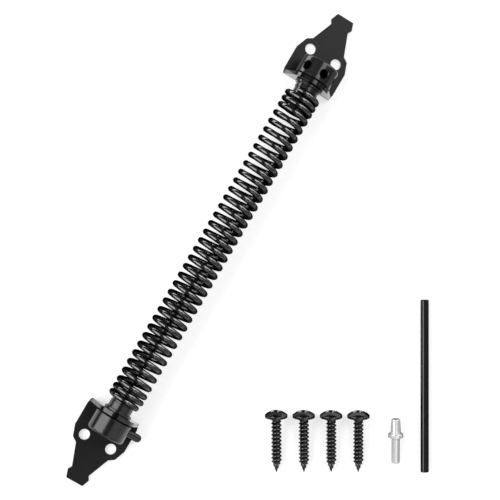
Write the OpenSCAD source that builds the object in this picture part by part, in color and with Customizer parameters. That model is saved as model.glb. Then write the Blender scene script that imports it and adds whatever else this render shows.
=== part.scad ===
// Gate spring closer: two bent eye brackets, a turned plug in each eye and a
// left-hand torsion spring gripped on both plugs, with its loose fixings beside it.
// The closer lies on the backs of its leaves. Its spring runs along Y, the leaves
// face up and the origin is midway between the lower bracket's two screw holes.

/* [Bracket leaf] */
// Distance between the screw hole pairs of the two brackets
hole_span = 267.4; // [180:0.1:400]
// Thickness of the bracket plate
plate_t = 2.4; // [1.6:0.1:4]
// Inside radius of the bend between leaf and flange
bend_r = 1.6; // [1:0.1:1.7]
// Width of the leaf beside the barrel
leaf_w = 33.8; // [30:0.2:44]
// Distance from where the leaf's straight sides end to the screw holes
side_rest = 2.6; // [1:0.1:6]
// Rim of the leaf beside a screw hole, at the shoulders
hole_rim = 2; // [1.5:0.1:2.8]
// Distance from the screw holes to the end of the shoulders
shoulder_past = 4.3; // [3:0.1:6]
// Length of the step from the shoulders to the neck
shoulder_step = 2.1; // [1:0.1:5]
// Width of the neck where it leaves the shoulders
neck_w = 22; // [18:0.1:25]
// Length of the tapered neck
neck_len = 13.6; // [8:0.1:20]
// Width of the neck below the ears
neck_end_w = 11.4; // [8:0.1:14]
// Length of the step from the neck to the ears
ear_step = 2.3; // [1:0.1:3]
// Width across the ears
ear_w = 14.3; // [14.2:0.1:18]
// Length of the tip beyond the ears
tip_len = 4.8; // [3:0.1:10]
// Width of the tip's straight end
tip_w = 10.9; // [8:0.1:14]
// Radius of the leaf's corners
corner_r = 0.6; // [0.2:0.1:1.2]

/* [Screw holes] */
// Distance between the two screw holes of a leaf
hole_pitch = 18; // [15:0.1:20]
// Clearance of a screw in its hole, over the diameter
hole_play = 0.2; // [0.1:0.1:1]
// Distance from the barrel's end to the edge of the screw holes
hole_clear = 3.1; // [0.5:0.1:6]

/* [Flange] */
// Width of the flange's eye around its bore
eye_wall = 4.8; // [3:0.1:6]
// How far each side of the flange comes in through the bend
flange_taper = 1; // [0.2:0.1:2]

/* [Plugs] */
// Diameter of the barrel
barrel_d = 23.3; // [18:0.1:30]
// Length of the barrel
barrel_len = 12.3; // [11:0.1:20]
// Clearance between the barrel and the leaf
barrel_gap = 0.35; // [0.2:0.05:2]
// Radius of the barrel's outer edge
barrel_edge = 1.4; // [0.4:0.1:3]
// Chamfer of the barrel's edge beside the flange
barrel_chamfer = 0.9; // [0.8:0.1:1.5]
// Diameter of the journal that turns in the flange
journal_d = 14.9; // [14.2:0.1:16]
// Radial clearance of the journal in the flange's bore
journal_fit = 0.05; // [0.01:0.01:0.1]
// End play of the plug between barrel and flange
end_play = 0.3; // [0.1:0.05:0.6]
// Length of the lower journal between washer and spring
lower_journal = 4.4; // [0.5:0.1:10]
// Length of the upper journal between washer and spring
upper_journal = 3; // [0.5:0.1:10]
// Length of the lower plug's seat inside the spring
lower_seat = 11.7; // [8:0.1:30]
// Length of the upper plug's seat inside the spring
upper_seat = 15.2; // [8:0.1:30]
// Chamfer of the plug's inner end
plug_chamfer = 1; // [0.3:0.1:2]

/* [Winding holes] */
// Clearance of rod and lock pin in a winding hole, over the diameter
winding_play = 0.3; // [0.1:0.1:1]
// Number of winding holes round the upper barrel, each drilled to its middle
winding_holes = 6; // [2:2:6]
// Distance of the winding holes from the flange
winding_at = 6; // [4.5:0.1:8]
// Angle of the first winding hole from the leaf's normal
winding_turn = 15; // [0:1:60]

/* [Stop pin] */
// Diameter of the lower plug's stop pin
stop_d = 4.8; // [3:0.1:6]
// Length of the stop pin outside the barrel
stop_out = 12.4; // [9:0.1:20]
// Length of the stop pin inside the barrel
stop_in = 8; // [4:0.1:8.5]
// Distance of the stop pin from the flange
stop_at = 5.5; // [4:0.1:8]
// Gap between the stop pin and the leaf's edge that it bears on
stop_gap = 0.3; // [0.1:0.05:1]

/* [Washers] */
// Width of a washer's ring
washer_rim = 1.3; // [0.8:0.1:3]
// Thickness of a washer
washer_t = 1.6; // [0.8:0.1:3]
// Clearance around and beside a washer
washer_gap = 0.15; // [0.05:0.05:0.3]

/* [Spring] */
// Diameter of the spring wire
wire_d = 3.5; // [2:0.1:4]
// Outer diameter of the spring
coil_d = 21.7; // [20:0.1:24]
// Number of turns of the spring
coil_turns = 37.25; // [20:0.05:38]
// Closer turns at the lower end of the spring
lower_end_turns = 1.7; // [1:0.1:4]
// Closer turns at the upper end of the spring
upper_end_turns = 2.2; // [1:0.1:4]
// Space between the closer end turns
turn_gap = 0.55; // [0.55:0.05:1.5]
// Angle of the wire's upper end from the leaf's normal
wire_end_turn = -31; // [-180:1:180]
// Clearance between the spring's turns and the plugs
grip_gap = 0.15; // [0.05:0.05:0.4]

/* [Screws] */
// Thread diameter of a screw
screw_d = 6.4; // [4:0.1:7]
// Length of a screw below its head
screw_len = 34.4; // [20:0.1:60]
// Length of a screw's point
point_len = 7.6; // [4:0.1:12]
// Diameter of a screw's head
head_d = 13.6; // [9:0.1:16]
// Height of a screw's domed head
head_h = 4.3; // [2:0.1:5]
// Thickness of the head's rim
head_rim = 1.6; // [0.4:0.1:1.8]

/* [Tension rod] */
// Diameter of the tension rod and of the lock pin's shank
rod_d = 5; // [3:0.1:6]
// Length of the tension rod
rod_len = 105.6; // [60:1:160]
// Chamfer of the ends of rod and shank
end_chamfer = 0.4; // [0.1:0.1:1]

/* [Lock pin] */
// Length of the lock pin's shank
lock_len = 15.9; // [12:0.1:20]
// Diameter of the lock pin's collar
collar_d = 9.2; // [7:0.1:14]
// Thickness of the lock pin's collar
collar_t = 2.4; // [1:0.1:4]
// Length of the lock pin's tapered grip
grip_len = 9.1; // [4:0.1:16]
// Diameter of the grip beside the collar
grip_d = 6.4; // [4:0.1:7]
// Diameter of the grip's end
grip_end_d = 5.2; // [3:0.1:7]

/* [Loose pieces] */
// Turn of the row of loose pieces against the closer
row_turn = 30.7; // [0:0.05:45]
// Distance of the first screw along the row
first_screw = 107.5; // [70:0.1:140]
// Distance from screw to screw along the row
screw_step = 16.8; // [16:0.1:30]
// Distance from the last screw to the lock pin
lock_step = 23.2; // [16:0.1:60]
// Distance from the lock pin to the tension rod
rod_step = 18.3; // [10:0.1:60]
// Offset of the screws' points across the row
screw_drop = -21.1; // [-30:0.1:0]
// How much lower each next screw lies across the row
screw_fall = 0.4; // [0:0.1:1]
// Turn of each screw and of the lock pin against the row
piece_turn = 1.5; // [0:0.1:5]
// Offset of the lock pin's shank end across the row
lock_drop = -16.7; // [-30:0.1:0]
// Offset of the rod's near end across the row
rod_drop = -23; // [-60:0.1:0]

/* [Hidden] */
$fn = 64;
over = 1;
black = [0.07, 0.07, 0.075];
leaf_black = [0.12, 0.12, 0.125];
zinc = [0.8, 0.81, 0.83];
screw_count = 4;
// The barrel clears the leaf, and the flange's bore and eye follow the journal
axis_h = plate_t + barrel_gap + barrel_d / 2;
bore_r = journal_d / 2 + journal_fit;
eye_r = bore_r + eye_wall;
flange_h = axis_h + eye_r;
outer_bend = bend_r + plate_t;
winding_d = rod_d + winding_play;
// The screw holes lie clear of the barrel's end
hole_d = screw_d + hole_play;
hole_at = plate_t + end_play + barrel_len + hole_clear + hole_d / 2;
lower_face = hole_at;
upper_face = hole_span - hole_at;
// Places along the leaf, from the flange's spring face
shoulder_w = hole_pitch + hole_d + 2 * hole_rim;
shoulder_at = hole_at + shoulder_past;
neck_at = shoulder_at + shoulder_step;
ear_at = neck_at + neck_len + ear_step;
leaf_len = ear_at + tip_len;
// Places along a plug, from the flange's spring face
barrel_face = -plate_t - end_play;
washer_end = washer_gap + washer_t;
lower_gap = washer_end + lower_journal;
upper_gap = washer_end + upper_journal;
// The stop pin turns until it is stop_gap off the leaf's front edge
stop_radius = stop_d / 2;
stop_reach = barrel_d / 2 + stop_out;
stop_start = barrel_d / 2 - stop_in;
edge_drop = axis_h - plate_t;
stop_turn = 90 + acos((stop_radius + stop_gap) / norm([edge_drop, leaf_w / 2]))
    - atan2(leaf_w / 2, edge_drop);
lock_place = first_screw + screw_step * (screw_count - 1) + lock_step;
rod_place = lock_place + rod_step;
// The coil: straight stretches of wire between rings, on the coil's mean radius
end_pitch = wire_d + turn_gap;
wire_sides = 6;
turn_rings = 8;
coil_steps = round(coil_turns * turn_rings);
step_turn = 360 * coil_turns / coil_steps;
ring_radius = (coil_d - wire_d) / (1 + cos(step_turn / 2));
seat_r = ring_radius * cos(step_turn / 2) - wire_d / 2 * cos(180 / wire_sides) - grip_gap;
coil_start = lower_face + lower_gap + wire_d / 2;
coil_len = upper_face - upper_gap - wire_d / 2 - coil_start;
// Between the closer end turns the pitch takes up the length that is left
open_turns = coil_turns - lower_end_turns - upper_end_turns - 1;
open_pitch = end_pitch + (coil_len - end_pitch * coil_turns) / open_turns;

// Stands on a flange's spring face at the axis, with z into the spring
module at_lower_eye() translate([0, lower_face, axis_h]) rotate([-90, 0, 0]) children();
module at_upper_eye() translate([0, upper_face, axis_h]) rotate([90, 0, 0]) children();

// Points outwards from the axis at a distance y, turned from the leaf's normal
module outwards(y, turn) translate([0, y, axis_h]) rotate([0, turn, 0]) children();

module rounded(r) offset(r = r, $fn = 24) offset(delta = -r) children();

// Half outlines, mirrored into whole ones
function mirrored(half) = concat(half, [for (i = [len(half) - 1:-1:0]) [-half[i].x, half[i].y]]);

function leaf_outline() = mirrored([
    [leaf_w / 2 - 2 * flange_taper, -outer_bend],
    [leaf_w / 2, outer_bend],
    [leaf_w / 2, hole_at - side_rest],
    [shoulder_w / 2, shoulder_at],
    [neck_w / 2, neck_at],
    [neck_end_w / 2, neck_at + neck_len],
    [ear_w / 2, ear_at],
    [tip_w / 2, leaf_len]
]);

// The flange's sides come in through the bend and run on to where they touch the eye's circle
function flange_outline() =
    let (foot = leaf_w / 2 - flange_taper, above = axis_h - outer_bend)
    let (touch = acos(eye_r / norm([foot, above])) - atan2(above, foot))
    mirrored([
        [foot + flange_taper * outer_bend / bend_r, 0],
        [foot, outer_bend],
        [eye_r * cos(touch), axis_h + eye_r * sin(touch)]
    ]);

// The bent strip seen from its side, with the leaf along x and the flange along y
module strip_profile() {
    translate([outer_bend, 0]) square([leaf_len, plate_t]);
    translate([0, outer_bend]) square([plate_t, flange_h]);
    intersection() {
        square(outer_bend);
        translate([outer_bend, outer_bend]) difference() {
            circle(outer_bend);
            circle(bend_r);
        }
    }
}

// A bracket with its flange's spring face at y = 0 and its leaf along +y
module bracket() {
    color(leaf_black) difference() {
        intersection() {
            rotate([90, 0, 90]) linear_extrude(leaf_w, center = true) strip_profile();
            linear_extrude(flange_h) rounded(corner_r) polygon(leaf_outline());
            union() {
                translate([-leaf_w / 2, outer_bend, 0]) cube([leaf_w, leaf_len, plate_t]);
                rotate([90, 0, 0]) translate([0, 0, -outer_bend]) linear_extrude(outer_bend) {
                    polygon(flange_outline());
                    translate([0, axis_h]) circle(eye_r);
                }
            }
        }
        for (side = [-1, 1])
            translate([side * hole_pitch / 2, hole_at, -over])
                cylinder(d = hole_d, h = plate_t + 2 * over);
        translate([0, -over, axis_h]) rotate([-90, 0, 0])
            cylinder(r = bore_r, h = plate_t + 2 * over);
    }
}

module lower_bracket() translate([0, lower_face, 0]) mirror([0, 1, 0]) bracket();

module upper_bracket() translate([0, upper_face, 0]) bracket();

// Turned plug: barrel, journal through the flange and a seat inside the spring
module plug(spring_gap, seat_len) {
    far = barrel_face - barrel_len;
    journal_end = spring_gap - washer_gap;
    plug_end = spring_gap + seat_len;
    color(black) rotate_extrude() {
        difference() {
            union() {
                translate([0, far + barrel_edge])
                    square([barrel_d / 2, barrel_len - barrel_edge]);
                translate([0, far]) square([barrel_d / 2 - barrel_edge, barrel_len]);
                translate([barrel_d / 2 - barrel_edge, far + barrel_edge]) circle(barrel_edge);
            }
            translate([barrel_d / 2, barrel_face]) rotate(45)
                square(barrel_chamfer * sqrt(2), center = true);
        }
        translate([0, barrel_face]) square([journal_d / 2, journal_end - barrel_face]);
        polygon([
            [0, barrel_face],
            [seat_r, barrel_face],
            [seat_r, plug_end - plug_chamfer],
            [seat_r - plug_chamfer, plug_end],
            [0, plug_end]
        ]);
    }
}

module lower_plug() {
    color(black) difference() {
        at_lower_eye() plug(lower_gap, lower_seat);
        outwards(lower_face - plate_t - stop_at, stop_turn)
            translate([0, 0, stop_start]) cylinder(r = stop_radius, h = stop_reach);
    }
}

module upper_plug() {
    color(black) difference() {
        at_upper_eye() plug(upper_gap, upper_seat);
        for (i = [0:winding_holes - 1])
            outwards(upper_face + plate_t + winding_at, winding_turn + 360 / winding_holes * i)
                cylinder(d = winding_d, h = barrel_d / 2 + over);
    }
}

module stop_pin() {
    color(black) outwards(lower_face - plate_t - stop_at, stop_turn)
        rotate_extrude() intersection() {
            translate([0, stop_start]) square([stop_radius, stop_reach - stop_start]);
            union() {
                square([stop_radius, stop_reach - stop_radius]);
                translate([0, stop_reach - stop_radius]) circle(stop_radius);
            }
        }
}

module washer() {
    color(black) translate([0, 0, washer_gap]) difference() {
        cylinder(r = bore_r + washer_rim, h = washer_t);
        translate([0, 0, -over]) cylinder(r = journal_d / 2 + washer_gap, h = washer_t + 2 * over);
    }
}

module lower_washer() at_lower_eye() washer();

module upper_washer() at_upper_eye() washer();

// Turns counted with the pitch ramping up over one turn that starts at turn a
function ramped(k, a) = let (x = max(0, min(1, k - a))) x * x / 2 + max(0, k - a - 1);

// Distance of the wire's centre along the axis after k turns from the lower end
function coil_rise(k) = end_pitch * k
    + (open_pitch - end_pitch) * (ramped(k, lower_end_turns) - ramped(k, coil_turns - upper_end_turns - 1));

// The wire leaves the leaf's normal towards +x as it goes down, a left-hand coil
function coil_angle(i) = wire_end_turn + step_turn * (coil_steps - i);
function coil_out(i) = [sin(coil_angle(i)), 0, cos(coil_angle(i))];
function coil_point(i) = ring_radius * coil_out(i)
    + [0, coil_start + coil_rise(i * coil_turns / coil_steps), axis_h];

// Each ring lies square to the wire, mitred between straight stretches
function coil_ring(i) =
    let (first = max(0, i - 1), last = min(coil_steps, i + 1))
    let (along = coil_point(last) - coil_point(first))
    let (ahead = along / norm(along))
    let (lean = coil_out(i) - (coil_out(i) * ahead) * ahead)
    let (mitre = last - first == 2 ? 1 / cos(step_turn / 2) : 1)
    let (out = mitre * lean / norm(lean), beside = cross(ahead, lean / norm(lean)))
    [for (j = [0:wire_sides - 1]) let (a = 360 / wire_sides * (j + 0.5))
        coil_point(i) + wire_d / 2 * (cos(a) * out + sin(a) * beside)];

module spring() {
    rings = [for (i = [0:coil_steps]) coil_ring(i)];
    whole_turn = round(coil_steps / coil_turns);
    gaps = [for (i = [0:coil_steps - whole_turn], p = rings[i], q = rings[i + whole_turn])
        norm(p - q)];
    echo(least_gap_between_turns = min(gaps));
    end = coil_steps * wire_sides;
    faces = [
        for (j = [1:wire_sides - 2]) [0, j + 1, j],
        for (j = [1:wire_sides - 2]) [end, end + j, end + j + 1],
        for (i = [0:coil_steps - 1], j = [0:wire_sides - 1])
            let (a = i * wire_sides + j, b = i * wire_sides + (j + 1) % wire_sides)
            each [[a, b, b + wire_sides], [a, b + wire_sides, a + wire_sides]]
    ];
    color(black) polyhedron([for (ring = rings, p = ring) p], faces);
}

// Turned outline of a screw, point at the origin, with a shallow domed head
module screw_body() {
    head_r = head_d / 2;
    dome_h = head_h - head_rim;
    dome_r = (head_r * head_r + dome_h * dome_h) / (2 * dome_h);
    rotate_extrude() {
        polygon([[0, 0], [screw_d / 2, point_len], [screw_d / 2, screw_len], [0, screw_len]]);
        translate([0, screw_len]) square([head_r, head_rim]);
        intersection() {
            translate([0, screw_len + head_rim]) square([head_r, dome_h]);
            translate([0, screw_len + head_h - dome_r]) circle(dome_r);
        }
    }
}

// Lays a turned piece down along the row's +y, with its head end raised by lean
module laid(place, drop, turn, lean, rest_r)
    rotate([0, 0, row_turn]) translate([place, drop, rest_r])
        rotate([0, 0, turn]) rotate([lean - 90, 0, 0]) children();

// A screw rests on its head's rim and on the last full thread above its point
module screw(i) {
    lean = atan2((head_d - screw_d) / 2, screw_len - point_len);
    rest = screw_d / 2 * cos(lean) - point_len * sin(lean);
    place = first_screw + screw_step * (i - 1);
    color(black) laid(place, screw_drop - screw_fall * (i - 1), piece_turn, lean, rest) screw_body();
}

// The lock pin rests on its collar's rim and on the shank behind its end's chamfer
module lock_pin() {
    shank_r = rod_d / 2;
    lean = atan2(collar_d / 2 - shank_r, lock_len - end_chamfer);
    rest = shank_r * cos(lean) - end_chamfer * sin(lean);
    color(zinc) laid(lock_place, lock_drop, piece_turn, lean, rest) rotate_extrude() {
        polygon([
            [0, 0],
            [shank_r - end_chamfer, 0],
            [shank_r, end_chamfer],
            [shank_r, lock_len + collar_t / 2],
            [0, lock_len + collar_t / 2]
        ]);
        translate([0, lock_len]) square([collar_d / 2, collar_t]);
        polygon([
            [0, lock_len + collar_t / 2],
            [grip_d / 2, lock_len + collar_t / 2],
            [grip_d / 2, lock_len + collar_t],
            [grip_end_d / 2, lock_len + collar_t + grip_len],
            [0, lock_len + collar_t + grip_len]
        ]);
    }
}

module tension_rod() {
    color(black) laid(rod_place, rod_drop, 0, 0, rod_d / 2) rotate_extrude() polygon([
        [0, 0],
        [rod_d / 2 - end_chamfer, 0],
        [rod_d / 2, end_chamfer],
        [rod_d / 2, rod_len - end_chamfer],
        [rod_d / 2 - end_chamfer, rod_len],
        [0, rod_len]
    ]);
}

lower_bracket();
lower_plug();
stop_pin();
lower_washer();
spring();
upper_washer();
upper_plug();
upper_bracket();
screw(1);  // screw_1
screw(2);  // screw_2
screw(3);  // screw_3
screw(4);  // screw_4
lock_pin();
tension_rod();
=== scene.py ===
import math
import bmesh
import bpy
import numpy as np
from mathutils import Matrix, Vector
from mathutils.geometry import delaunay_2d_cdt


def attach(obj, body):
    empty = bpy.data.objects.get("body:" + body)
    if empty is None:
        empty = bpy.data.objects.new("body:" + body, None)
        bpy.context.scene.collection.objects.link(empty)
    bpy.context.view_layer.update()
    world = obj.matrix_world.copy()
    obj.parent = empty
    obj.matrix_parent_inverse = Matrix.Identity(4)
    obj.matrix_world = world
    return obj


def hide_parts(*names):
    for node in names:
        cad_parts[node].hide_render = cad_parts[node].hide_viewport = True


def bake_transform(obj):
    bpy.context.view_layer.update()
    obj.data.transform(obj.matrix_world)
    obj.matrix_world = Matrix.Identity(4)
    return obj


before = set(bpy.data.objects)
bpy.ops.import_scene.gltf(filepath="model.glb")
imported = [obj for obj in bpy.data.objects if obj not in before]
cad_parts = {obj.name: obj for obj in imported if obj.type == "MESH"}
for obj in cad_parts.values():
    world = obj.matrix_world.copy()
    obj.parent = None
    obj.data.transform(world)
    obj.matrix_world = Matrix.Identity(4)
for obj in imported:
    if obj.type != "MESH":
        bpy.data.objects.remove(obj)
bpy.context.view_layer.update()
print("frame loaded:", len(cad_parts), "nodes")

mm = 0.001
mergeGap = 2e-7  # metres: points nearer than this are one
guardGap = 0.03  # mm: how far from a rounded corner its sides get a point that keeps them flat
crispAngle = 34  # degrees: an edge that turns by more stays crisp in shading

# Places on the closer, in mm: the height of the spring's axis above the leaves' backs, the two
# flanges' spring faces, the plates' thickness, and the plugs' play along the axis
closer = {"axisHeight": 14.4, "lowerFace": 21.4, "upperFace": 246.0, "plate": 2.4, "endPlay": 0.3}


# Puts arrays of points and faces into a piece of that name, and merges the points that
# coincide, which closes poles and seams
def makePiece(name, points, faces, uv=None, material=None, crisp=crispAngle):
    mesh = bpy.data.meshes.new(name)
    faces = faces.tolist() if hasattr(faces, "tolist") else faces
    mesh.from_pydata(points.reshape(-1, 3).tolist(), [], faces)
    if uv is not None:
        layer = mesh.uv_layers.new(name="wrap")
        layer.data.foreach_set("uv", uv.astype(np.float32).ravel())
    shape = bmesh.new()
    shape.from_mesh(mesh)
    bmesh.ops.remove_doubles(shape, verts=shape.verts, dist=mergeGap)
    shape.to_mesh(mesh)
    shape.free()
    piece = bpy.data.objects.new(name, mesh)
    bpy.context.scene.collection.objects.link(piece)
    smoothOver(piece, crisp)
    if material is not None:
        mesh.materials.append(material)
    return piece


# Shades smooth, but keeps an edge crisp where its faces turn by more than the angle
def smoothOver(piece, angle):
    piece.data.polygons.foreach_set("use_smooth", np.ones(len(piece.data.polygons), bool))
    piece.data.set_sharp_from_angle(angle=math.radians(angle))


# Turns a mesh's faces the same way, which is outwards where the mesh is closed
def turnOutwards(mesh):
    shape = bmesh.new()
    shape.from_mesh(mesh)
    bmesh.ops.recalc_face_normals(shape, faces=shape.faces)
    shape.to_mesh(mesh)
    shape.free()


# Quads between neighbouring rows and columns of a grid whose columns close on themselves,
# and each corner's place on the unwrapped grid: the share of the turn and the row's length
def wrapGrid(rowCount, columnCount, lengths, closed=False):
    rows = np.arange(rowCount if closed else rowCount - 1)[:, None]
    columns = np.arange(columnCount)[None, :]
    nextRow, nextColumn = (rows + 1) % rowCount, (columns + 1) % columnCount
    corners = [(rows, columns, rows, columns), (rows, nextColumn, rows, columns + 1),
               (nextRow, nextColumn, rows + 1, columns + 1), (nextRow, columns, rows + 1, columns)]
    faces = np.stack([r * columnCount + c for r, c, _, _ in corners], -1).reshape(-1, 4)
    along = np.append(lengths, lengths[-1])
    uv = np.stack([np.stack(np.broadcast_arrays(c / columnCount, along[np.minimum(r, rowCount)]), -1)
                   for _, _, r, c in corners], 2).reshape(-1, 2)
    return faces, uv


# Rounds each corner of an outline: the corner gives way to an arc of its radius that
# touches both sides. A point of the arc is its centre plus a blend of the directions to the
# arc's two ends, weighed by the sines of the turn that is left and the turn that is done.
def roundCorners(points, radii, closed=False, arcSteps=5):
    points = [np.array(p, float) for p in points]
    outline = []
    for i, (corner, radius) in enumerate(zip(points, radii)):
        if radius == 0 or (not closed and i in (0, len(points) - 1)):
            outline.append(corner)
            continue
        before, after = points[i - 1] - corner, points[(i + 1) % len(points)] - corner
        before, after = before / np.linalg.norm(before), after / np.linalg.norm(after)
        half = math.acos(np.clip(before @ after, -1, 1)) / 2
        reach = radius / math.tan(half)
        middle = (before + after) / np.linalg.norm(before + after)
        centre = corner + middle * radius / math.sin(half)
        first, last = corner + before * reach, corner + after * reach
        turn = math.pi - 2 * half
        guard = min(guardGap, reach / 4)
        outline.append(first + before * guard)
        for share in np.linspace(0, 1, arcSteps + 1):
            left, done = math.sin((1 - share) * turn), math.sin(share * turn)
            outline.append(centre + (left * (first - centre) + done * (last - centre)) / math.sin(turn))
        outline.append(last + after * guard)
    return np.array(outline)


# A turned piece: each outline point (radius, height) goes round the axis, so
# place = foot + height * axis + radius * (cos(turn) * side + sin(turn) * other)
def turnedPiece(name, outline, foot, axis, material, sides=96, closed=False):
    askew = [0.31, 0.17, 0.94]  # along no piece's axis, so a side direction can be taken from it
    axis = np.array(axis, float) / np.linalg.norm(axis)
    side = np.cross(axis, askew)
    side /= np.linalg.norm(side)
    other = np.cross(axis, side)
    turn = np.arange(sides) * 2 * np.pi / sides
    spoke = np.cos(turn)[:, None] * side + np.sin(turn)[:, None] * other
    radius, height = outline[:, 0, None, None], outline[:, 1, None, None]
    points = (np.array(foot, float) + height * axis + radius * spoke[None]) * mm
    lengths = np.append(0, np.cumsum(np.linalg.norm(np.diff(outline, axis=0), axis=1))) * mm
    faces, uv = wrapGrid(len(outline), sides, lengths, closed)
    return makePiece(name, points, faces, uv, material)


# Makes a piece's modifiers part of its mesh
def applyModifiers(piece):
    graph = bpy.context.evaluated_depsgraph_get()
    graph.update()
    mesh = bpy.data.meshes.new_from_object(piece.evaluated_get(graph))
    piece.modifiers.clear()
    old, piece.data = piece.data, mesh
    mesh.name = piece.name
    bpy.data.meshes.remove(old)


# Takes the cutters out of a piece and removes them
def cutAway(piece, cutters):
    for cutter in cutters:
        cut = piece.modifiers.new("cut", "BOOLEAN")
        cut.operation, cut.solver, cut.object = "DIFFERENCE", "EXACT", cutter
    applyModifiers(piece)
    for cutter in cutters:
        bpy.data.objects.remove(cutter)
    smoothOver(piece, crispAngle)


# One output socket. Arithmetic on it adds Math nodes to its material.
class Wire:
    def __init__(self, bench, socket):
        self.bench, self.socket = bench, socket

    def work(self, operation, *values):
        step = self.bench.node("ShaderNodeMath", {"operation": operation}, dict(enumerate(values)))
        return self.bench.out(step)

    def __add__(self, other):
        return self.work("ADD", self, other)

    def __radd__(self, other):
        return self.work("ADD", other, self)

    def __sub__(self, other):
        return self.work("SUBTRACT", self, other)

    def __rsub__(self, other):
        return self.work("SUBTRACT", other, self)

    def __mul__(self, other):
        return self.work("MULTIPLY", self, other)

    def __rmul__(self, other):
        return self.work("MULTIPLY", other, self)

    def __truediv__(self, other):
        return self.work("DIVIDE", self, other)

    def __rtruediv__(self, other):
        return self.work("DIVIDE", other, self)

    def atLeast(self, other):
        return self.work("MAXIMUM", self, other)

    def atMost(self, other):
        return self.work("MINIMUM", self, other)


# The node tree of one material or of the world, with the one method that adds its nodes
class Bench:
    def __init__(self, owner):
        owner.use_nodes = True
        self.tree = owner.node_tree
        self.tree.nodes.clear()

    def node(self, kind, settings=None, sockets=None):
        new = self.tree.nodes.new(kind)
        for name, value in (settings or {}).items():
            setattr(new, name, value)
        for name, value in (sockets or {}).items():
            if isinstance(value, Wire):
                self.tree.links.new(value.socket, new.inputs[name])
            else:
                new.inputs[name].default_value = value
        return new

    def out(self, node, name=0):
        return Wire(self, node.outputs[name])

    # A point on the piece, or on its unwrapped surface, stretched by the scale
    def place(self, scale=(1, 1, 1), uv=False):
        where = self.out(self.node("ShaderNodeTexCoord"), "UV" if uv else "Object")
        sockets = {"Vector": where, "Scale": scale}
        return self.out(self.node("ShaderNodeMapping", {"vector_type": "POINT"}, sockets))

    # Soft noise from 0 to 1 with spots of that size, in mm where the place is a point on the piece
    def noise(self, where, size, grade):
        sockets = {"Vector": where, "Scale": 1 / (size * mm), **noiseGrades[grade]}
        return self.out(self.node("ShaderNodeTexNoise", {"noise_dimensions": "3D"}, sockets), "Fac")

    # Colour a where share is 0 and colour b where it is 1
    def mixColour(self, share, a, b):
        sockets = {0: share, 6: (*a, 1), 7: (*b, 1)}
        return self.out(self.node("ShaderNodeMix", {"data_type": "RGBA"}, sockets), 2)

    # Bump of that height in mm, from a wire that runs from 0 to 1
    def bump(self, height, depth):
        sockets = {"Height": height, "Distance": depth * mm, "Strength": 1.0}
        return self.out(self.node("ShaderNodeBump", {}, sockets))

    # 1 for what the camera, gloss or glass sees, and 0 for light that falls on the object
    def seenWhite(self):
        path = self.node("ShaderNodeLightPath")
        glossy, through = self.out(path, "Is Glossy Ray"), self.out(path, "Is Transmission Ray")
        return self.out(path, "Is Camera Ray").atLeast(glossy).atLeast(through)

    # Shows a shader on the material, or lights the world with it
    def show(self, shader, kind="ShaderNodeOutputMaterial"):
        self.node(kind, {}, {"Surface": self.out(shader)})


noiseGrades = {
    "cloud": {"Detail": 4, "Roughness": 0.6},
    "grain": {"Detail": 3, "Roughness": 0.55},
    "lines": {"Detail": 4, "Roughness": 0.65},
    "streak": {"Detail": 4, "Roughness": 0.7},
}
# Sizes and bump in mm. The lines' stretch is small in the directions that they run in, which
# draws their noise out.
finishes = {
    "leaf": {"dark": (0.0015, 0.0015, 0.0016), "light": (0.004, 0.004, 0.0042),
             "rough": 0.12, "roughDrift": 0.08, "metal": 0.0, "edge": 1.0, "ior": 1.36,
             "cloudSize": 9, "grainSize": 0.55, "grainShare": 1.0, "bump": 0.006,
             "dull": {"more": 0.36, "from": 3.2, "to": 6.0, "coat": 0.55}},
    "turned": {"dark": (0.004, 0.004, 0.0045), "light": (0.009, 0.009, 0.0095),
               "rough": 0.2, "roughDrift": 0.1, "metal": 0.0, "edge": 1.0, "ior": 1.54,
               "cloudSize": 6, "grainSize": 0.4, "grainShare": 0.5, "bump": 0.004,
               "lines": {"stretch": (0.02, 1, 0.02), "size": 0.35, "share": 0.8, "uv": False}},
    "spring": {"dark": (0.085, 0.085, 0.086), "light": (0.107, 0.107, 0.108),
               "rough": 0.07, "roughDrift": 0.06, "metal": 1.0, "edge": 0.3, "ior": 1.5,
               "cloudSize": 4, "grainSize": 0.35, "grainShare": 0.7, "bump": 0.0012,
               "lines": {"stretch": (0.012, 0.02, 1), "size": 0.02, "share": 0.5, "uv": True}},
    "screw": {"dark": (0.06, 0.06, 0.06), "light": (0.11, 0.11, 0.11),
              "rough": 0.1, "roughDrift": 0.1, "metal": 1.0, "edge": 0.2, "ior": 1.5,
              "cloudSize": 2.5, "grainSize": 0.3, "grainShare": 1.0, "bump": 0.003},
    "rod": {"dark": (0.03, 0.03, 0.03), "light": (0.048, 0.048, 0.048),
            "rough": 0.2, "roughDrift": 0.12, "metal": 1.0, "edge": 0.0, "ior": 1.5,
            "cloudSize": 7, "grainSize": 0.3, "grainShare": 0.6, "bump": 0.005,
            "lines": {"stretch": (1, 0.02, 1), "size": 20, "share": 0.5, "uv": True}},
}
coatRoughness = 0.1


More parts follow.
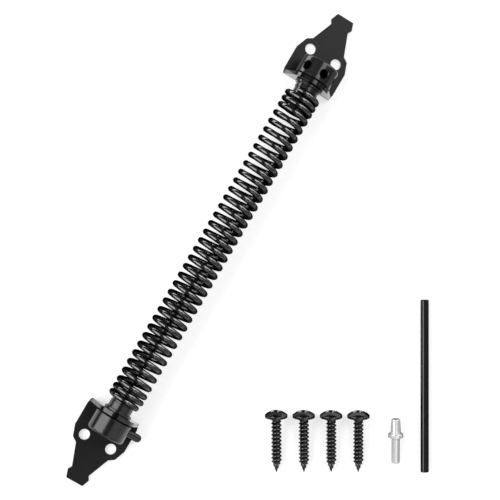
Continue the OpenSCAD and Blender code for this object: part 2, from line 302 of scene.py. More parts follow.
# A black finish. Its colour drifts between dark and light with broad noise, its roughness with
# that noise and half as much with finer noise, and fine orange peel with turning or drawing
# lines makes the bump. Where the finish has a dull part, the roughness rises below a height
# and a coat grows above it, both in step with the height. The edge is the share of a
# reflection that stays where it is seen at a slant.
def blackFinish(name, look):
    material = bpy.data.materials.new(name)
    bench = Bench(material)
    where = bench.place()
    cloud = bench.noise(where, look["cloudSize"], "cloud")
    grain = bench.noise(where, look["grainSize"], "grain")
    height = grain * look["grainShare"]
    lines = look.get("lines")
    if lines:
        drawn = bench.noise(bench.place(lines["stretch"], lines["uv"]), lines["size"], "lines")
        height = height + drawn * lines["share"]
    rough = look["rough"] + (cloud - 0.5) * look["roughDrift"] + (grain - 0.5) * (look["roughDrift"] / 2)
    coat = 0.0
    dull = look.get("dull")
    if dull:
        level = bench.out(bench.node("ShaderNodeSeparateXYZ", {}, {0: where}), "Z") / mm
        raised = ((level - dull["from"]) / (dull["to"] - dull["from"])).atLeast(0.0).atMost(1.0)
        rough = rough + (1 - raised) * dull["more"]
        coat = raised * dull["coat"]
    bench.show(bench.node("ShaderNodeBsdfPrincipled", {}, {
        "Base Color": bench.mixColour(cloud, look["dark"], look["light"]),
        "Roughness": rough,
        "IOR": look["ior"],
        "Metallic": look["metal"],
        "Specular Tint": (look["edge"], look["edge"], look["edge"], 1),
        "Coat Weight": coat,
        "Coat Roughness": coatRoughness,
        "Normal": bench.bump(height, look["bump"])}))
    return material


leafBlack = blackFinish("leafBlack", finishes["leaf"])
turnedBlack = blackFinish("turnedBlack", finishes["turned"])
springBlack = blackFinish("springBlack", finishes["spring"])
screwBlack = blackFinish("screwBlack", finishes["screw"])
rodBlack = blackFinish("rodBlack", finishes["rod"])

zinc = {"dark": (0.86, 0.87, 0.88), "light": (0.95, 0.95, 0.95), "metal": 0.5, "edge": 0.1,
        "rough": 0.18, "roughDrift": 0.1, "cloudSize": 3, "bump": 0.003,
        "streakStretch": (1, 60, 1), "streakSize": 1000, "streakDrift": 0.1}


# Bright zinc, half metal. A faint cloud drifts in its colour and roughness, and a finer streak
# on the unwrapped surface adds to the roughness and makes the bump.
def zincFinish(name, look):
    material = bpy.data.materials.new(name)
    bench = Bench(material)
    cloud = bench.noise(bench.place(), look["cloudSize"], "cloud")
    streak = bench.noise(bench.place(look["streakStretch"], True), look["streakSize"], "streak")
    drift = (cloud - 0.5) * look["roughDrift"]
    bench.show(bench.node("ShaderNodeBsdfPrincipled", {}, {
        "Base Color": bench.mixColour(cloud, look["dark"], look["light"]),
        "Roughness": look["rough"] + drift + (streak - 0.5) * look["streakDrift"],
        "Metallic": look["metal"],
        "Specular Tint": (look["edge"], look["edge"], look["edge"], 1),
        "Normal": bench.bump(streak, look["bump"])}))
    return material


brightZinc = zincFinish("brightZinc", zinc)
print("materials made")


# Widths across and places along the leaf, in mm. A place counts from the flange's spring face.
bracket = {
    "leafWidth": 33.8, "bend": 1.6, "sideEnd": 18.8, "shoulderWidth": 28.6, "shoulderAt": 25.7,
    "neckWidth": 22, "neckAt": 27.8, "neckEndWidth": 11.4, "neckEnd": 41.4, "earWidth": 14.3,
    "earAt": 43.7, "tipWidth": 10.9, "length": 48.5, "cornerRadius": 0.6, "cornerSteps": 4,
    "holePitch": 18, "holeAt": 21.4, "holeWidth": 6.6, "holeSteps": 64,
    "boreRadius": 7.5, "boreSteps": 96, "eyeRadius": 12.3, "eyeSteps": 61,
    "flangeTaper": 1, "bendSteps": 15, "edgeRound": 0.28, "edgeSteps": 3, "edgeAngle": 40, "crisp": 50,
}


# A circle as closed points, radius * (cos, sin) about its centre
def circlePoints(centre, radius, count):
    turn = np.arange(count) * 2 * np.pi / count
    return np.array(centre) + radius * np.stack([np.cos(turn), np.sin(turn)], 1)


# Fills the outlines on a flat blank with faces that meet along the fold lines, and leaves out
# those whose points all lie in a hole. Returns points (x, y) and the faces.
def fillBlank(outline, folds, holes):
    flat, edges = [], []
    for loop in [outline] + [circlePoints(*hole) for hole in holes]:
        start = len(flat)
        flat += loop.tolist()
        edges += [(start + i, start + (i + 1) % len(loop)) for i in range(len(loop))]
    places = {tuple(np.round(p, 6)): i for i, p in enumerate(flat)}
    edges += [(places[tuple(np.round((-x, y), 6))], places[tuple(np.round((x, y), 6))]) for x, y in folds]
    wholeFaces, nearest, slack = 4, 1e-6, 1e-3
    flat, _, faces, _, _, _ = delaunay_2d_cdt([Vector(p) for p in flat], edges, [], wholeFaces, nearest)
    flat = np.array([tuple(p) for p in flat])

    def inHole(face):
        return any(np.all(np.hypot(*(flat[face] - centre).T) < radius + slack) for centre, radius, _ in holes)

    return flat, [list(face) for face in faces if not inHole(list(face))]


# The plate is cut flat and then bent. The flat blank has x across and y along: the leaf
# from y = 0 up, the bend's middle surface from -arc to 0, and the flange below it. Bending
# maps y to a quarter circle of the middle radius and then straight up, and the plate's
# thickness grows evenly to both sides of this middle surface. The flange's sides touch the
# eye's circle.
def bracketPiece(name, face, direction):
    b = bracket
    plate, half = closer["plate"], b["leafWidth"] / 2
    middle = b["bend"] + plate / 2
    outer = b["bend"] + plate
    arc = middle * math.pi / 2
    leaf = [(b["leafWidth"], b["sideEnd"]), (b["shoulderWidth"], b["shoulderAt"]),
            (b["neckWidth"], b["neckAt"]), (b["neckEndWidth"], b["neckEnd"]),
            (b["earWidth"], b["earAt"]), (b["tipWidth"], b["length"])]
    leaf = [(width / 2, at - outer) for width, at in leaf]
    rightSide = roundCorners([(half, 0)] + leaf + [(0, b["length"] - outer)],
                             [0] + [b["cornerRadius"]] * len(leaf) + [0], False, b["cornerSteps"])[1:-1]
    leftSide = rightSide[::-1] * [-1, 1]
    axisUp = closer["axisHeight"] - outer
    eyeAt = -arc - axisUp
    foot = half - b["flangeTaper"]
    touch = math.acos(b["eyeRadius"] / math.hypot(foot, axisUp)) - math.atan2(axisUp, foot)
    eyeTurn = np.linspace(math.pi - touch, touch, b["eyeSteps"])
    eye = np.stack([b["eyeRadius"] * np.cos(eyeTurn), eyeAt - b["eyeRadius"] * np.sin(eyeTurn)], 1)
    folds = [(half - b["flangeTaper"] * part, -arc * part) for part in np.linspace(0, 1, b["bendSteps"])]
    upRight = folds[::-1]
    upLeft = [(-x, y) for x, y in folds]
    holes = [((x, b["holeAt"] - outer), b["holeWidth"] / 2, b["holeSteps"])
             for x in (-b["holePitch"] / 2, b["holePitch"] / 2)]
    holes.append(((0, eyeAt), b["boreRadius"], b["boreSteps"]))
    flat, faces = fillBlank(np.concatenate([rightSide, leftSide, upLeft, eye, upRight]), folds, holes)
    x, y = flat[:, 0], flat[:, 1]
    turn = np.clip(-y / middle, 0, math.pi / 2)
    along = np.where(y > 0, outer + y, outer - middle * np.sin(turn))
    up = outer - middle * np.cos(turn) + np.maximum(-y - arc, 0)
    piece = makePiece(name, np.stack([x, face + direction * along, up], 1) * mm, faces, None, leafBlack)
    turnOutwards(piece.data)
    thick = piece.modifiers.new("thickness", "SOLIDIFY")
    thick.thickness, thick.offset, thick.use_even_offset = plate * mm, 0, True
    applyModifiers(piece)
    turnOutwards(piece.data)
    edge = piece.modifiers.new("edges", "BEVEL")
    edge.width, edge.segments = b["edgeRound"] * mm, b["edgeSteps"]
    edge.limit_method, edge.angle_limit = "ANGLE", math.radians(b["edgeAngle"])
    edge.miter_outer = "MITER_ARC"
    applyModifiers(piece)
    smoothOver(piece, b["crisp"])
    flatter = piece.modifiers.new("normals", "WEIGHTED_NORMAL")
    flatter.keep_sharp = True
    return piece


lowerPlate = bracketPiece("lowerPlate", closer["lowerFace"], -1)
upperPlate = bracketPiece("upperPlate", closer["upperFace"], 1)
for piece, node, body in ((lowerPlate, "lower_bracket", "lower_bracket"),
                          (upperPlate, "upper_bracket", "upper_bracket")):
    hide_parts(node)
    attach(piece, body)
print("brackets made")


plug = {"barrelRadius": 11.65, "barrelLength": 12.3, "edgeRadius": 1.4, "chamfer": 0.9, "chamferRound": 0.2,
        "journalRadius": 7.45, "seatRadius": 7.08, "footRound": 0.1, "stepBack": 0.15, "stepRound": 0.12,
        "endChamfer": 1.0, "endRound": 0.3, "washerEnd": 1.75, "lowerJournal": 4.4, "upperJournal": 3.0,
        "lowerSeat": 11.7, "upperSeat": 15.2, "sides": 160}
winding = {"radius": 2.65, "fromFlange": 6.0, "turn": 15, "count": 6, "rim": 0.3, "rimSink": 0.25,
           "past": 0.75, "sides": 48}
stop = {"radius": 2.4, "fromFlange": 5.5, "turn": 117.9, "reach": 24.05, "start": 3.65, "guard": 0.02,
        "domeSteps": 13, "sides": 48}
washer = {"inner": 7.6, "outer": 8.8, "start": 0.15, "thickness": 1.6, "edge": 0.25, "edgeSteps": 4,
          "sides": 128}


# Outline of a turned plug from its barrel's end to its seat's end, measured from the
# flange's spring face
def plugOutline(journal, seat):
    p = plug
    face = -closer["plate"] - closer["endPlay"]
    far = face - p["barrelLength"]
    step = p["washerEnd"] + journal - p["stepBack"]
    end = p["washerEnd"] + journal + seat
    corners = [((0, far), 0), ((p["barrelRadius"], far), p["edgeRadius"]),
               ((p["barrelRadius"], face - p["chamfer"]), p["chamferRound"]),
               ((p["barrelRadius"] - p["chamfer"], face), p["chamferRound"]),
               ((p["journalRadius"], face), p["footRound"]), ((p["journalRadius"], step), p["stepRound"]),
               ((p["seatRadius"], step), p["footRound"]),
               ((p["seatRadius"], end - p["endChamfer"]), p["endRound"]),
               ((p["seatRadius"] - p["endChamfer"], end), p["endRound"]), ((0, end), 0)]
    return roundCorners(*zip(*corners))


# A direction away from the closer's axis, turned from the leaf's normal towards +x:
# (sin(turn), 0, cos(turn))
def outwards(turn):
    a = math.radians(turn)
    return np.array([math.sin(a), 0, math.cos(a)])


lowerCentre = np.array([0, closer["lowerFace"], closer["axisHeight"]])
upperCentre = np.array([0, closer["upperFace"], closer["axisHeight"]])
lowerPlug = turnedPiece("lowerPlug", plugOutline(plug["lowerJournal"], plug["lowerSeat"]),
                        lowerCentre, (0, 1, 0), turnedBlack, plug["sides"])
upperPlug = turnedPiece("upperPlug", plugOutline(plug["upperJournal"], plug["upperSeat"]),
                        upperCentre, (0, -1, 0), turnedBlack, plug["sides"])

# Each winding hole is cut from the barrel's middle outwards, and widens just at its rim
rimFrom = plug["barrelRadius"] - winding["rim"] - winding["rimSink"]
past = plug["barrelRadius"] + winding["past"]
wide = winding["radius"] + winding["rim"] + (winding["rimSink"] + winding["past"])
holeOutline = np.array([(0, 0), (winding["radius"], 0), (winding["radius"], rimFrom),
                        (wide, past), (0, past)])
holeCentre = upperCentre + [0, closer["plate"] + winding["fromFlange"], 0]
holeTurns = [winding["turn"] + 360 / winding["count"] * i for i in range(winding["count"])]
cutAway(upperPlug, [turnedPiece("drill", holeOutline, holeCentre, outwards(turn), None, winding["sides"])
                    for turn in holeTurns])

# The stop pin's outline: its foot in the barrel, its side, and a quarter circle over its tip
stopFoot = np.array([0, closer["lowerFace"] - closer["plate"] - stop["fromFlange"], closer["axisHeight"]])
dome = np.linspace(0, math.pi / 2, stop["domeSteps"])[1:]
stopSide = stop["reach"] - stop["radius"]
stopOutline = np.concatenate([
    [(0, stop["start"]), (stop["radius"], stop["start"]), (stop["radius"], stopSide - stop["guard"])],
    np.stack([stop["radius"] * np.cos(dome), stopSide + stop["radius"] * np.sin(dome)], 1)])
stopPin = turnedPiece("stopPin", stopOutline, stopFoot, outwards(stop["turn"]), screwBlack, stop["sides"])

near, far = washer["start"], washer["start"] + washer["thickness"]
washerOutline = roundCorners([(washer["inner"], near), (washer["outer"], near),
                              (washer["outer"], far), (washer["inner"], far)],
                             [washer["edge"]] * 4, True, washer["edgeSteps"])
lowerWasher = turnedPiece("lowerWasher", washerOutline, lowerCentre, (0, 1, 0), turnedBlack,
                          washer["sides"], True)
upperWasher = turnedPiece("upperWasher", washerOutline, upperCentre, (0, -1, 0), turnedBlack,
                          washer["sides"], True)

for piece, node, body in ((lowerPlug, "lower_plug", "lower_plug"), (upperPlug, "upper_plug", "upper_plug"),
                          (stopPin, "stop_pin", "lower_plug"), (lowerWasher, "lower_washer", "lower_plug"),
                          (upperWasher, "upper_washer", "upper_plug")):
    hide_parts(node)
    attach(piece, body)
print("plugs, stop pin and washers made")


spring = {"turns": 37.25, "wireRadius": 1.75, "meanRadius": 9.1, "endTurn": -31, "start": 29.3,
          "length": 210.2, "endPitch": 4.05, "lowerClose": 1.7, "upperClose": 2.2, "ringsPerTurn": 44,
          "sides": 20, "endRound": 0.25, "endRings": (0, 0.35, 0.75, 1), "plainFrom": 1.5, "crisp": 50}


# A left-hand coil: after k turns the wire's centre stands at the angle
# endTurn + 360 * (turns - k) from the leaf's normal, on the mean radius. It rises by the end
# pitch at both ends and by the open pitch between them, with one turn's ramp at each change.
# A circle of the wire's radius, square to that path, is carried along it. Its radius draws in
# by a quarter circle at both ends, where a few rings stand at shares of the rounding.
def springPiece(name):
    s = spring
    openTurns = s["turns"] - s["lowerClose"] - s["upperClose"] - 1
    openPitch = s["endPitch"] + (s["length"] - s["endPitch"] * s["turns"]) / openTurns

    def ramped(k, a):
        x = np.clip(k - a, 0, 1)
        return x * x / 2 + np.maximum(k - a - 1, 0)

    def centre(k):
        angle = np.radians(s["endTurn"] + 360 * (s["turns"] - k))
        rise = s["endPitch"] * k + (openPitch - s["endPitch"]) * (
            ramped(k, s["lowerClose"]) - ramped(k, s["turns"] - s["upperClose"] - 1))
        return np.stack([s["meanRadius"] * np.sin(angle), s["start"] + rise,
                         closer["axisHeight"] + s["meanRadius"] * np.cos(angle)], -1)

    turnLength = 2 * math.pi * s["meanRadius"]
    inset = s["endRound"] / turnLength
    endRings = np.array(s["endRings"])
    plain = inset * s["plainFrom"]
    between = np.linspace(plain, s["turns"] - plain, int(s["turns"] * s["ringsPerTurn"]))
    k = np.concatenate([inset * endRings, between, s["turns"] - inset * endRings[::-1]])
    radius = np.full(len(k), s["wireRadius"])
    drawIn = s["endRound"] * (1 - np.sqrt(1 - (1 - endRings) ** 2))
    radius[:len(endRings)] -= drawIn
    radius[-len(endRings):] -= drawIn[::-1]
    k = np.concatenate([[0], k, [s["turns"]]])
    radius = np.concatenate([[0], radius, [0]])
    points = centre(k)
    step = 1e-4  # turns, for the path's direction
    ahead = centre(np.clip(k + step, 0, s["turns"])) - centre(np.clip(k - step, 0, s["turns"]))
    ahead /= np.linalg.norm(ahead, axis=1, keepdims=True)
    out = (points - [0, 0, closer["axisHeight"]]) * [1, 0, 1]
    out -= (out * ahead).sum(1, keepdims=True) * ahead
    out /= np.linalg.norm(out, axis=1, keepdims=True)
    beside = np.cross(ahead, out)
    turn = np.arange(s["sides"]) * 2 * np.pi / s["sides"]
    spoke = np.cos(turn)[None, :, None] * out[:, None] + np.sin(turn)[None, :, None] * beside[:, None]
    rings = points[:, None] + radius[:, None, None] * spoke
    faces, uv = wrapGrid(len(k), s["sides"], k * turnLength * mm)
    uv = uv.reshape(-1, 4, 2)[:, ::-1].reshape(-1, 2)  # both run the other way round to face outwards
    return makePiece(name, rings * mm, faces[:, ::-1], uv, springBlack, s["crisp"])


coil = springPiece("coil")
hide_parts("spring")
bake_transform(coil)
print("spring made:", len(coil.data.polygons), "faces")


# The row of loose pieces: its turn in degrees, and in mm the pieces' places along it and the
# places of their feet across it
row = {"turn": 30.7, "firstScrew": 107.5, "screwStep": 16.8, "screws": 4, "lockStep": 23.2, "rodStep": 18.3,
       "screwDrop": -21.1, "screwFall": 0.4, "lockDrop": -16.7, "rodDrop": -23, "pieceTurn": 1.5}
looseBody = "lower_bracket"


# Lays a piece that is built standing on its foot: it is tipped over by 90 degrees less the
# lean, so that its head end is raised by the lean, turned, moved to its place in the row with
# its foot's middle at the resting height, and turned with the whole row about the closer's origin
def laidMatrix(place, drop, turn, lean, rest):
    return (Matrix.Rotation(math.radians(row["turn"]), 4, "Z")
            @ Matrix.Translation((place * mm, drop * mm, rest * mm))
            @ Matrix.Rotation(math.radians(turn), 4, "Z")
            @ Matrix.Rotation(math.radians(lean - 90), 4, "X"))


# How far a piece leans that lies on a small end and a wider one, from the rise over the run,
# and the height of its foot's middle: radius * cos(lean) - gap * sin(lean)
def leanAndRest(radius, wide, run, gap):
    lean = math.degrees(math.atan2(wide - radius, run))
    return lean, radius * math.cos(math.radians(lean)) - gap * math.sin(math.radians(lean))


screw = {"radius": 3.2, "root": 2.3, "length": 34.4, "point": 7.6, "rootPoint": 0.92, "pitch": 2.37,
         "crest": 0.16, "hollow": 2.4, "lead": 1.01, "spareTurns": 3, "threadSteps": 40, "flankSteps": 8,
         "neck": 1.7, "neckRadius": 2.9, "neckBlend": 0.5, "threadFade": 1.2,
         "headRadius": 6.8, "headHeight": 4.3, "headRim": 1.6, "underRound": 0.35, "rimRound": 0.45,
         "domeSteps": 25, "headSides": 96, "footInset": 0.15, "footDepth": 0.3, "turn": 4, "crisp": 38}
recess = {"armLength": 3.9, "armWidth": 1.7, "slotLength": 5.2, "depth": 2.4, "above": 0.6,
          "bottomLength": 1.0, "bottomWidth": 0.35}


# The thread is a strip carried up a right-hand helix. Its place across one pitch gives the
# radius: the share of the way up to the crest is (1 - distance from the crest / reach) to a
# power, which makes a narrow crest and a hollow root. The strip's next turn joins on to it.
# The radii shrink to nothing over the point, and near the head the thread fades to the neck.
def threadPoints():
    s = screw
    turns = int(s["length"] / s["pitch"]) + s["spareTurns"]
    half = s["crest"] / 2 / s["pitch"]
    across = np.concatenate([np.linspace(0, 0.5 - half, s["flankSteps"]),
                             np.linspace(0.5 + half, 1, s["flankSteps"])[:-1]])
    bulk = (1 - (np.abs(across - 0.5) - half) / (0.5 - half)) ** s["hollow"]
    turn = np.arange(turns * s["threadSteps"] + 1) / s["threadSteps"]
    height = np.clip(s["pitch"] * (turn[:, None] - s["lead"] + across[None]), 0, s["length"])
    crest = s["radius"] * np.clip(height / s["point"], 0, 1)
    root = s["root"] * np.clip(height / (s["point"] * s["rootPoint"]), 0, 1)
    neckStart = s["length"] - s["neck"]
    fade = np.clip((neckStart - height) / s["threadFade"], 0, 1)
    neck = np.clip((height - (neckStart - s["neckBlend"])) / s["neckBlend"], 0, 1)
    core = root + (s["neckRadius"] - root) * neck
    radius = core + np.maximum(crest - core, 0) * bulk[None] * fade
    angle = 2 * np.pi * turn[:, None] + np.zeros_like(height)
    points = np.stack([radius * np.cos(angle), radius * np.sin(angle), height], -1) * mm
    n, m = height.shape
    i, j = np.arange(n - 1)[:, None], np.arange(m - 1)[None]
    strip = np.stack([i * m + j, (i + 1) * m + j, (i + 1) * m + j + 1, i * m + j + 1], -1).reshape(-1, 4)
    low = np.arange(n - 1 - s["threadSteps"])
    high = low + s["threadSteps"]
    join = np.stack([low * m + m - 1, (low + 1) * m + m - 1, (high + 1) * m, high * m], -1)
    return points, np.concatenate([strip, join])


# A cross at a height, as twelve points: one arm pair may be longer than the other, and the
# width is half an arm's
def crossPoints(longArm, arm, width, height):
    corners = [(longArm, -width), (longArm, width), (width, width), (width, arm),
               (-width, arm), (-width, width), (-longArm, width), (-longArm, -width),
               (-width, -width), (-width, -arm), (width, -arm), (width, -width)]
    return [(x, y, height) for x, y in corners]


# A prism between a wide cross above the head and a small one at the recess's bottom
def recessCutter(top):
    r = recess
    upper = crossPoints(r["slotLength"], r["armLength"], r["armWidth"], top + r["above"])
    lower = crossPoints(r["bottomLength"], r["bottomLength"], r["bottomWidth"], top - r["depth"])
    n = len(upper)
    sides = [[n + i, n + (i + 1) % n, (i + 1) % n, i] for i in range(n)]
    ends = [list(range(n)), list(range(n, 2 * n))[::-1]]
    cutter = makePiece("cutter", np.array(upper + lower) * mm, sides + ends)
    turnOutwards(cutter.data)
    return cutter


# The head's outline: flat underside, rounded rim, and an arc of a circle up to its middle,
# whose radius is (radius squared + rise squared) / (2 * rise)
def screwHead(name):
    s = screw
    low, rise = s["length"], s["headHeight"] - s["headRim"]
    domeRadius = (s["headRadius"] ** 2 + rise ** 2) / (2 * rise)
    half = math.asin(s["headRadius"] / domeRadius)
    turn = np.linspace(half, 0, s["domeSteps"])[1:]
    base = low + s["headHeight"] - domeRadius
    arc = np.stack([domeRadius * np.sin(turn), base + domeRadius * np.cos(turn)], 1)
    foot = s["neckRadius"] - s["footInset"]
    corners = [((0, low - s["footDepth"]), 0), ((foot, low - s["footDepth"]), 0), ((foot, low), 0),
               ((s["headRadius"], low), s["underRound"]),
               ((s["headRadius"], low + s["headRim"]), s["rimRound"]), (arc[1], 0)]
    outline = np.concatenate([roundCorners(*zip(*corners))[:-1], arc[2:]])
    head = turnedPiece(name, outline, (0, 0, 0), (0, 0, 1), screwBlack, s["headSides"])
    cutAway(head, [recessCutter(low + s["headHeight"])])
    return head


# One screw's mesh, standing on its point: the threaded shank, closed at both rims, and the head
def screwMesh():
    head = screwHead("screwHead")
    points, faces = threadPoints()
    shank = makePiece("screwShank", points, faces, None, screwBlack)
    shape = bmesh.new()
    shape.from_mesh(shank.data)
    bmesh.ops.dissolve_degenerate(shape, dist=mergeGap / 2, edges=shape.edges)
    rim = [e for e in shape.edges if len(e.link_faces) == 1]
    bmesh.ops.holes_fill(shape, edges=rim, sides=0)
    bmesh.ops.recalc_face_normals(shape, faces=shape.faces)
    shape.from_mesh(head.data)
    mesh = bpy.data.meshes.new("screw")
    shape.to_mesh(mesh)
    shape.free()
    mesh.materials.append(screwBlack)
    for old in (head, shank):
        bpy.data.objects.remove(old)
    return mesh


screwLean, screwRest = leanAndRest(screw["radius"], screw["headRadius"],
                                   screw["length"] - screw["point"], screw["point"])
looseScrew = screwMesh()
for i in range(row["screws"]):
    mesh = looseScrew.copy()
    piece = bpy.data.objects.new("woodScrew" + str(i + 1), mesh)
    bpy.context.scene.collection.objects.link(piece)
    spin = Matrix.Rotation(math.radians(screw["turn"]), 4, "Z")
    place, drop = row["firstScrew"] + row["screwStep"] * i, row["screwDrop"] - row["screwFall"] * i
    mesh.transform(laidMatrix(place, drop, row["pieceTurn"], screwLean, screwRest) @ spin)
    smoothOver(piece, screw["crisp"])
    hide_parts("screw_" + str(i + 1))
    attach(piece, looseBody)
print("screws made:", len(looseScrew.polygons), "faces each")


lock = {"radius": 2.5, "length": 15.9, "chamfer": 0.4, "endRound": 0.1, "shankRound": 0.15,
        "collarRadius": 4.6, "collar": 2.4, "collarRound": 0.3,
        "grip": 9.1, "gripRadius": 3.2, "gripFoot": 0.2, "gripEndRadius": 2.6, "gripEndRound": 0.5}
lockCollar = lock["length"] + lock["collar"]
lockEnd = lockCollar + lock["grip"]
lockCorners = [((0, 0), 0), ((lock["radius"] - lock["chamfer"], 0), lock["endRound"]),
               ((lock["radius"], lock["chamfer"]), lock["shankRound"]),
               ((lock["radius"], lock["length"]), lock["shankRound"]),
               ((lock["collarRadius"], lock["length"]), lock["collarRound"]),
               ((lock["collarRadius"], lockCollar), lock["collarRound"]),
               ((lock["gripRadius"], lockCollar), lock["gripFoot"]),
               ((lock["gripEndRadius"], lockEnd), lock["gripEndRound"]), ((0, lockEnd), 0)]
lockPin = turnedPiece("lockPin", roundCorners(*zip(*lockCorners)), (0, 0, 0), (0, 0, 1), brightZinc)
lockLean, lockRest = leanAndRest(lock["radius"], lock["collarRadius"],
                                 lock["length"] - lock["chamfer"], lock["chamfer"])
lockPlace = row["firstScrew"] + row["screwStep"] * (row["screws"] - 1) + row["lockStep"]
lockPin.data.transform(laidMatrix(lockPlace, row["lockDrop"], row["pieceTurn"], lockLean, lockRest))
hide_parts("lock_pin")
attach(lockPin, looseBody)

rod = {"radius": 2.5, "length": 105.6, "chamfer": 0.4, "endRound": 0.12, "sideRound": 0.2}
rodCorners = [((0, 0), 0), ((rod["radius"] - rod["chamfer"], 0), rod["endRound"]),
              ((rod["radius"], rod["chamfer"]), rod["sideRound"]),
              ((rod["radius"], rod["length"] - rod["chamfer"]), rod["sideRound"]),
              ((rod["radius"] - rod["chamfer"], rod["length"]), rod["endRound"]), ((0, rod["length"]), 0)]
tensionRod = turnedPiece("tensionRod", roundCorners(*zip(*rodCorners)), (0, 0, 0), (0, 0, 1), rodBlack)
tensionRod.data.transform(laidMatrix(lockPlace + row["rodStep"], row["rodDrop"], 0, 0, rod["radius"]))
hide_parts("tension_rod")
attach(tensionRod, looseBody)
print("lock pin and rod made")


studio = {"floorSize": 8.0, "floorColour": (0.6, 0.6, 0.6), "floorRoughness": 0.9, "floorLift": 0.62,
          "fill": 0.38}
# Soft boxes: angle of the middle from straight up towards +x, distance, width, reach along y
softBoxes = {
    "leftBox": {"angle": -48, "distance": 1.2, "width": 0.96, "from": -1.00, "to": 0.20, "strength": 4.2},
    "topBox": {"angle": 12, "distance": 1.2, "width": 0.46, "from": 0.47, "to": 1.50, "strength": 4.6},
}
# Cards that only reflections see, from corner to corner
cards = {
    "ceilingCard": {"from": (-3.0, -2.0, 1.9), "to": (0.30, 2.6, 1.9), "tone": 0.28},
    "cameraCard": {"from": (-0.46, -0.20, 1.5), "to": (0.21, 0.55, 1.5), "tone": 0.06},
    "sideCard": {"from": (0.60, 0.38, 1.35), "to": (1.15, 2.00, 1.35), "tone": 0.20},
    "leftCard": {"from": (-3.0, -2.0, 0.0), "to": (-3.0, 2.6, 1.9), "tone": 0.05},
    "nearCard": {"from": (-3.0, -2.0, 0.0), "to": (0.30, -2.0, 1.9), "tone": 0.08},
    "farCard": {"from": (-3.0, 2.6, 0.0), "to": (0.30, 2.6, 1.9), "tone": 0.08},
    "endCard": {"from": (0.30, 1.15, 0.35), "to": (1.08, 1.15, 1.15), "tone": 5.2},
    "rightCard": {"from": (0.90, -0.04, 0.0), "to": (0.90, 0.60, 1.0), "tone": 0.22},
    "rightNearCard": {"from": (0.90, -2.2, 0.0), "to": (0.90, -0.25, 1.3), "tone": 0.36},
    "nearRightCard": {"from": (0.30, -2.2, 0.0), "to": (0.90, -2.2, 1.3), "tone": 0.36},
    "sideStrip": {"from": (-1.15, -0.45, 0.10), "to": (-1.15, 0.0, 0.46), "tone": 4.8},
    "rowCard": {"from": (0.30, -0.08, 1.9), "to": (1.30, 0.38, 1.9), "tone": 0.18},
    "lowStrip": {"from": (-0.30, 0.18, 0.0), "to": (-0.30, 0.50, 0.06), "tone": 5.0},
    "floorStrip": {"from": (-0.30, 0.17, 0.0012), "to": (-0.10, 0.50, 0.0012), "tone": 5.0},
    "barrelStrip": {"from": (-0.10, 0.262, 0.0012), "to": (-0.055, 0.33, 0.0012), "tone": 4.5},
    "lowCard": {"from": (-3.0, 0.03, 0.0006), "to": (-0.032, 1.0, 0.0006), "tone": 0.18},
    "lowerBarrelCard": {"from": (-0.45, -0.05, 0.0006), "to": (-0.062, 0.03, 0.0006), "tone": 0.03},
    "upperBarrelCard": {"from": (-0.040, 0.250, 0.0009), "to": (-0.018, 0.29, 0.0009), "tone": 0.3},
    "underCard": {"from": (-0.032, 0.03, 0.0006), "to": (0.012, 0.238, 0.0006), "tone": 0.03},
    "pinCard": {"from": (0.132, 0.062, 0.0006), "to": (0.182, 0.118, 0.0006), "tone": 0.1},
    "coilCard": {"from": (0.012, 0.04, 0.0006), "to": (0.085, 0.238, 0.0006), "tone": 0.42},
    "upperRightCard": {"from": (0.032, 0.25, 0.0006), "to": (0.20, 0.33, 0.0006), "tone": 0.4},
}


# A flat rectangle between two opposite corners, which is part of the studio
def flatCard(name, low, high, material):
    low, high = np.array(low, float), np.array(high, float)
    flat = int(np.argmin(np.abs(high - low)))
    a, b = [k for k in range(3) if k != flat]
    points = np.array([low, low, high, high])
    points[1, a], points[3, a] = high[a], low[a]
    mesh = bpy.data.meshes.new(name)
    mesh.from_pydata(points.tolist(), [], [[0, 1, 2, 3]])
    mesh.materials.append(material)
    card = bpy.data.objects.new(name, mesh)
    bpy.context.scene.collection.objects.link(card)
    return card


# White for the camera and in reflections, with the object's shadow kept
def floorMaterial():
    material = bpy.data.materials.new("studioFloor")
    bench = Bench(material)
    bench.show(bench.node("ShaderNodeBsdfPrincipled", {}, {
        "Base Color": (*studio["floorColour"], 1), "Roughness": studio["floorRoughness"],
        "Specular IOR Level": 0.0,
        "Emission Color": (1, 1, 1, 1), "Emission Strength": bench.seenWhite() * studio["floorLift"]}))
    return material


half = studio["floorSize"] / 2
flatCard("studioFloor", (-half, -half, 0), (half, half, 0), floorMaterial())
for name, card in cards.items():
    material = bpy.data.materials.new(name)
    bench = Bench(material)
    bench.show(bench.node("ShaderNodeEmission", {}, {"Color": (1, 1, 1, 1), "Strength": card["tone"]}))
    board = flatCard(name, card["from"], card["to"], material)
    board.visible_camera = board.visible_diffuse = board.visible_shadow = board.visible_transmission = False

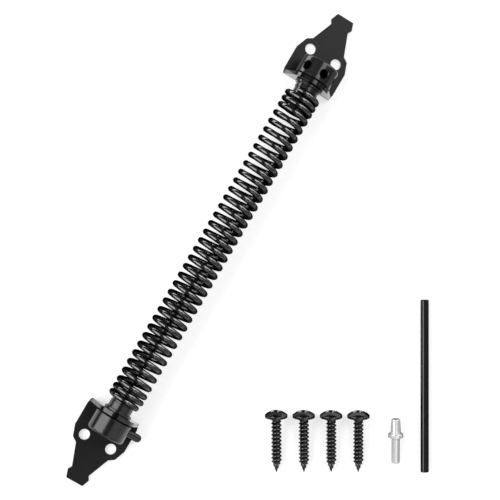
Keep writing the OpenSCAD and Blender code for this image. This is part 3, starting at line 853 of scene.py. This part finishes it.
for name, box in softBoxes.items():
    lamp = bpy.data.lights.new(name, "AREA")
    lamp.shape = "RECTANGLE"
    lamp.size, lamp.size_y = box["width"], box["to"] - box["from"]
    lamp.energy = box["strength"] * math.pi * lamp.size * lamp.size_y
    a = math.radians(box["angle"])
    place = Vector((math.sin(a) * box["distance"], (box["from"] + box["to"]) / 2,
                    math.cos(a) * box["distance"] + closer["axisHeight"] * mm))
    holder = bpy.data.objects.new(name, lamp)
    bpy.context.scene.collection.objects.link(holder)
    holder.matrix_world = Matrix.Translation(place) @ Matrix.Rotation(a, 4, "Y")
    holder.visible_camera = False

world = bpy.data.worlds.new("studio")
bpy.context.scene.world = world
bench = Bench(world)
sky = bench.node("ShaderNodeBackground", {}, {
    "Color": (1, 1, 1, 1), "Strength": studio["fill"] + bench.seenWhite() * (1 - studio["fill"])})
bench.show(sky, "ShaderNodeOutputWorld")

# The camera looks down on the row's middle, a little from the closer's left. Target and distance
# are in mm, tilts and roll in degrees.
view = {"target": (20.88, 144.27, 2.0), "sideTilt": -7.81, "endTilt": -3.69, "roll": 30.59, "distance": 928.6,
        "lens": 111.3, "sensor": 36, "clipStart": 0.05, "clipEnd": 30}
back = np.array([math.tan(math.radians(view["sideTilt"])), math.tan(math.radians(view["endTilt"])), 1.0])
back /= np.linalg.norm(back)
roll = math.radians(view["roll"])
right = np.cross([-math.sin(roll), math.cos(roll), 0], back)
right /= np.linalg.norm(right)
upward = np.cross(back, right)
place = (np.array(view["target"]) + view["distance"] * back) * mm
lens = bpy.data.cameras.new("camera")
lens.lens, lens.sensor_width, lens.sensor_fit = view["lens"], view["sensor"], "HORIZONTAL"
lens.clip_start, lens.clip_end = view["clipStart"], view["clipEnd"]
camera = bpy.data.objects.new("camera", lens)
bpy.context.scene.collection.objects.link(camera)
stand = np.vstack([np.column_stack([right, upward, back, place]), [0, 0, 0, 1]])
camera.matrix_world = Matrix(stand.tolist())
bpy.context.scene.camera = camera
bpy.context.scene.view_settings.view_transform = "Standard"
print("studio made")
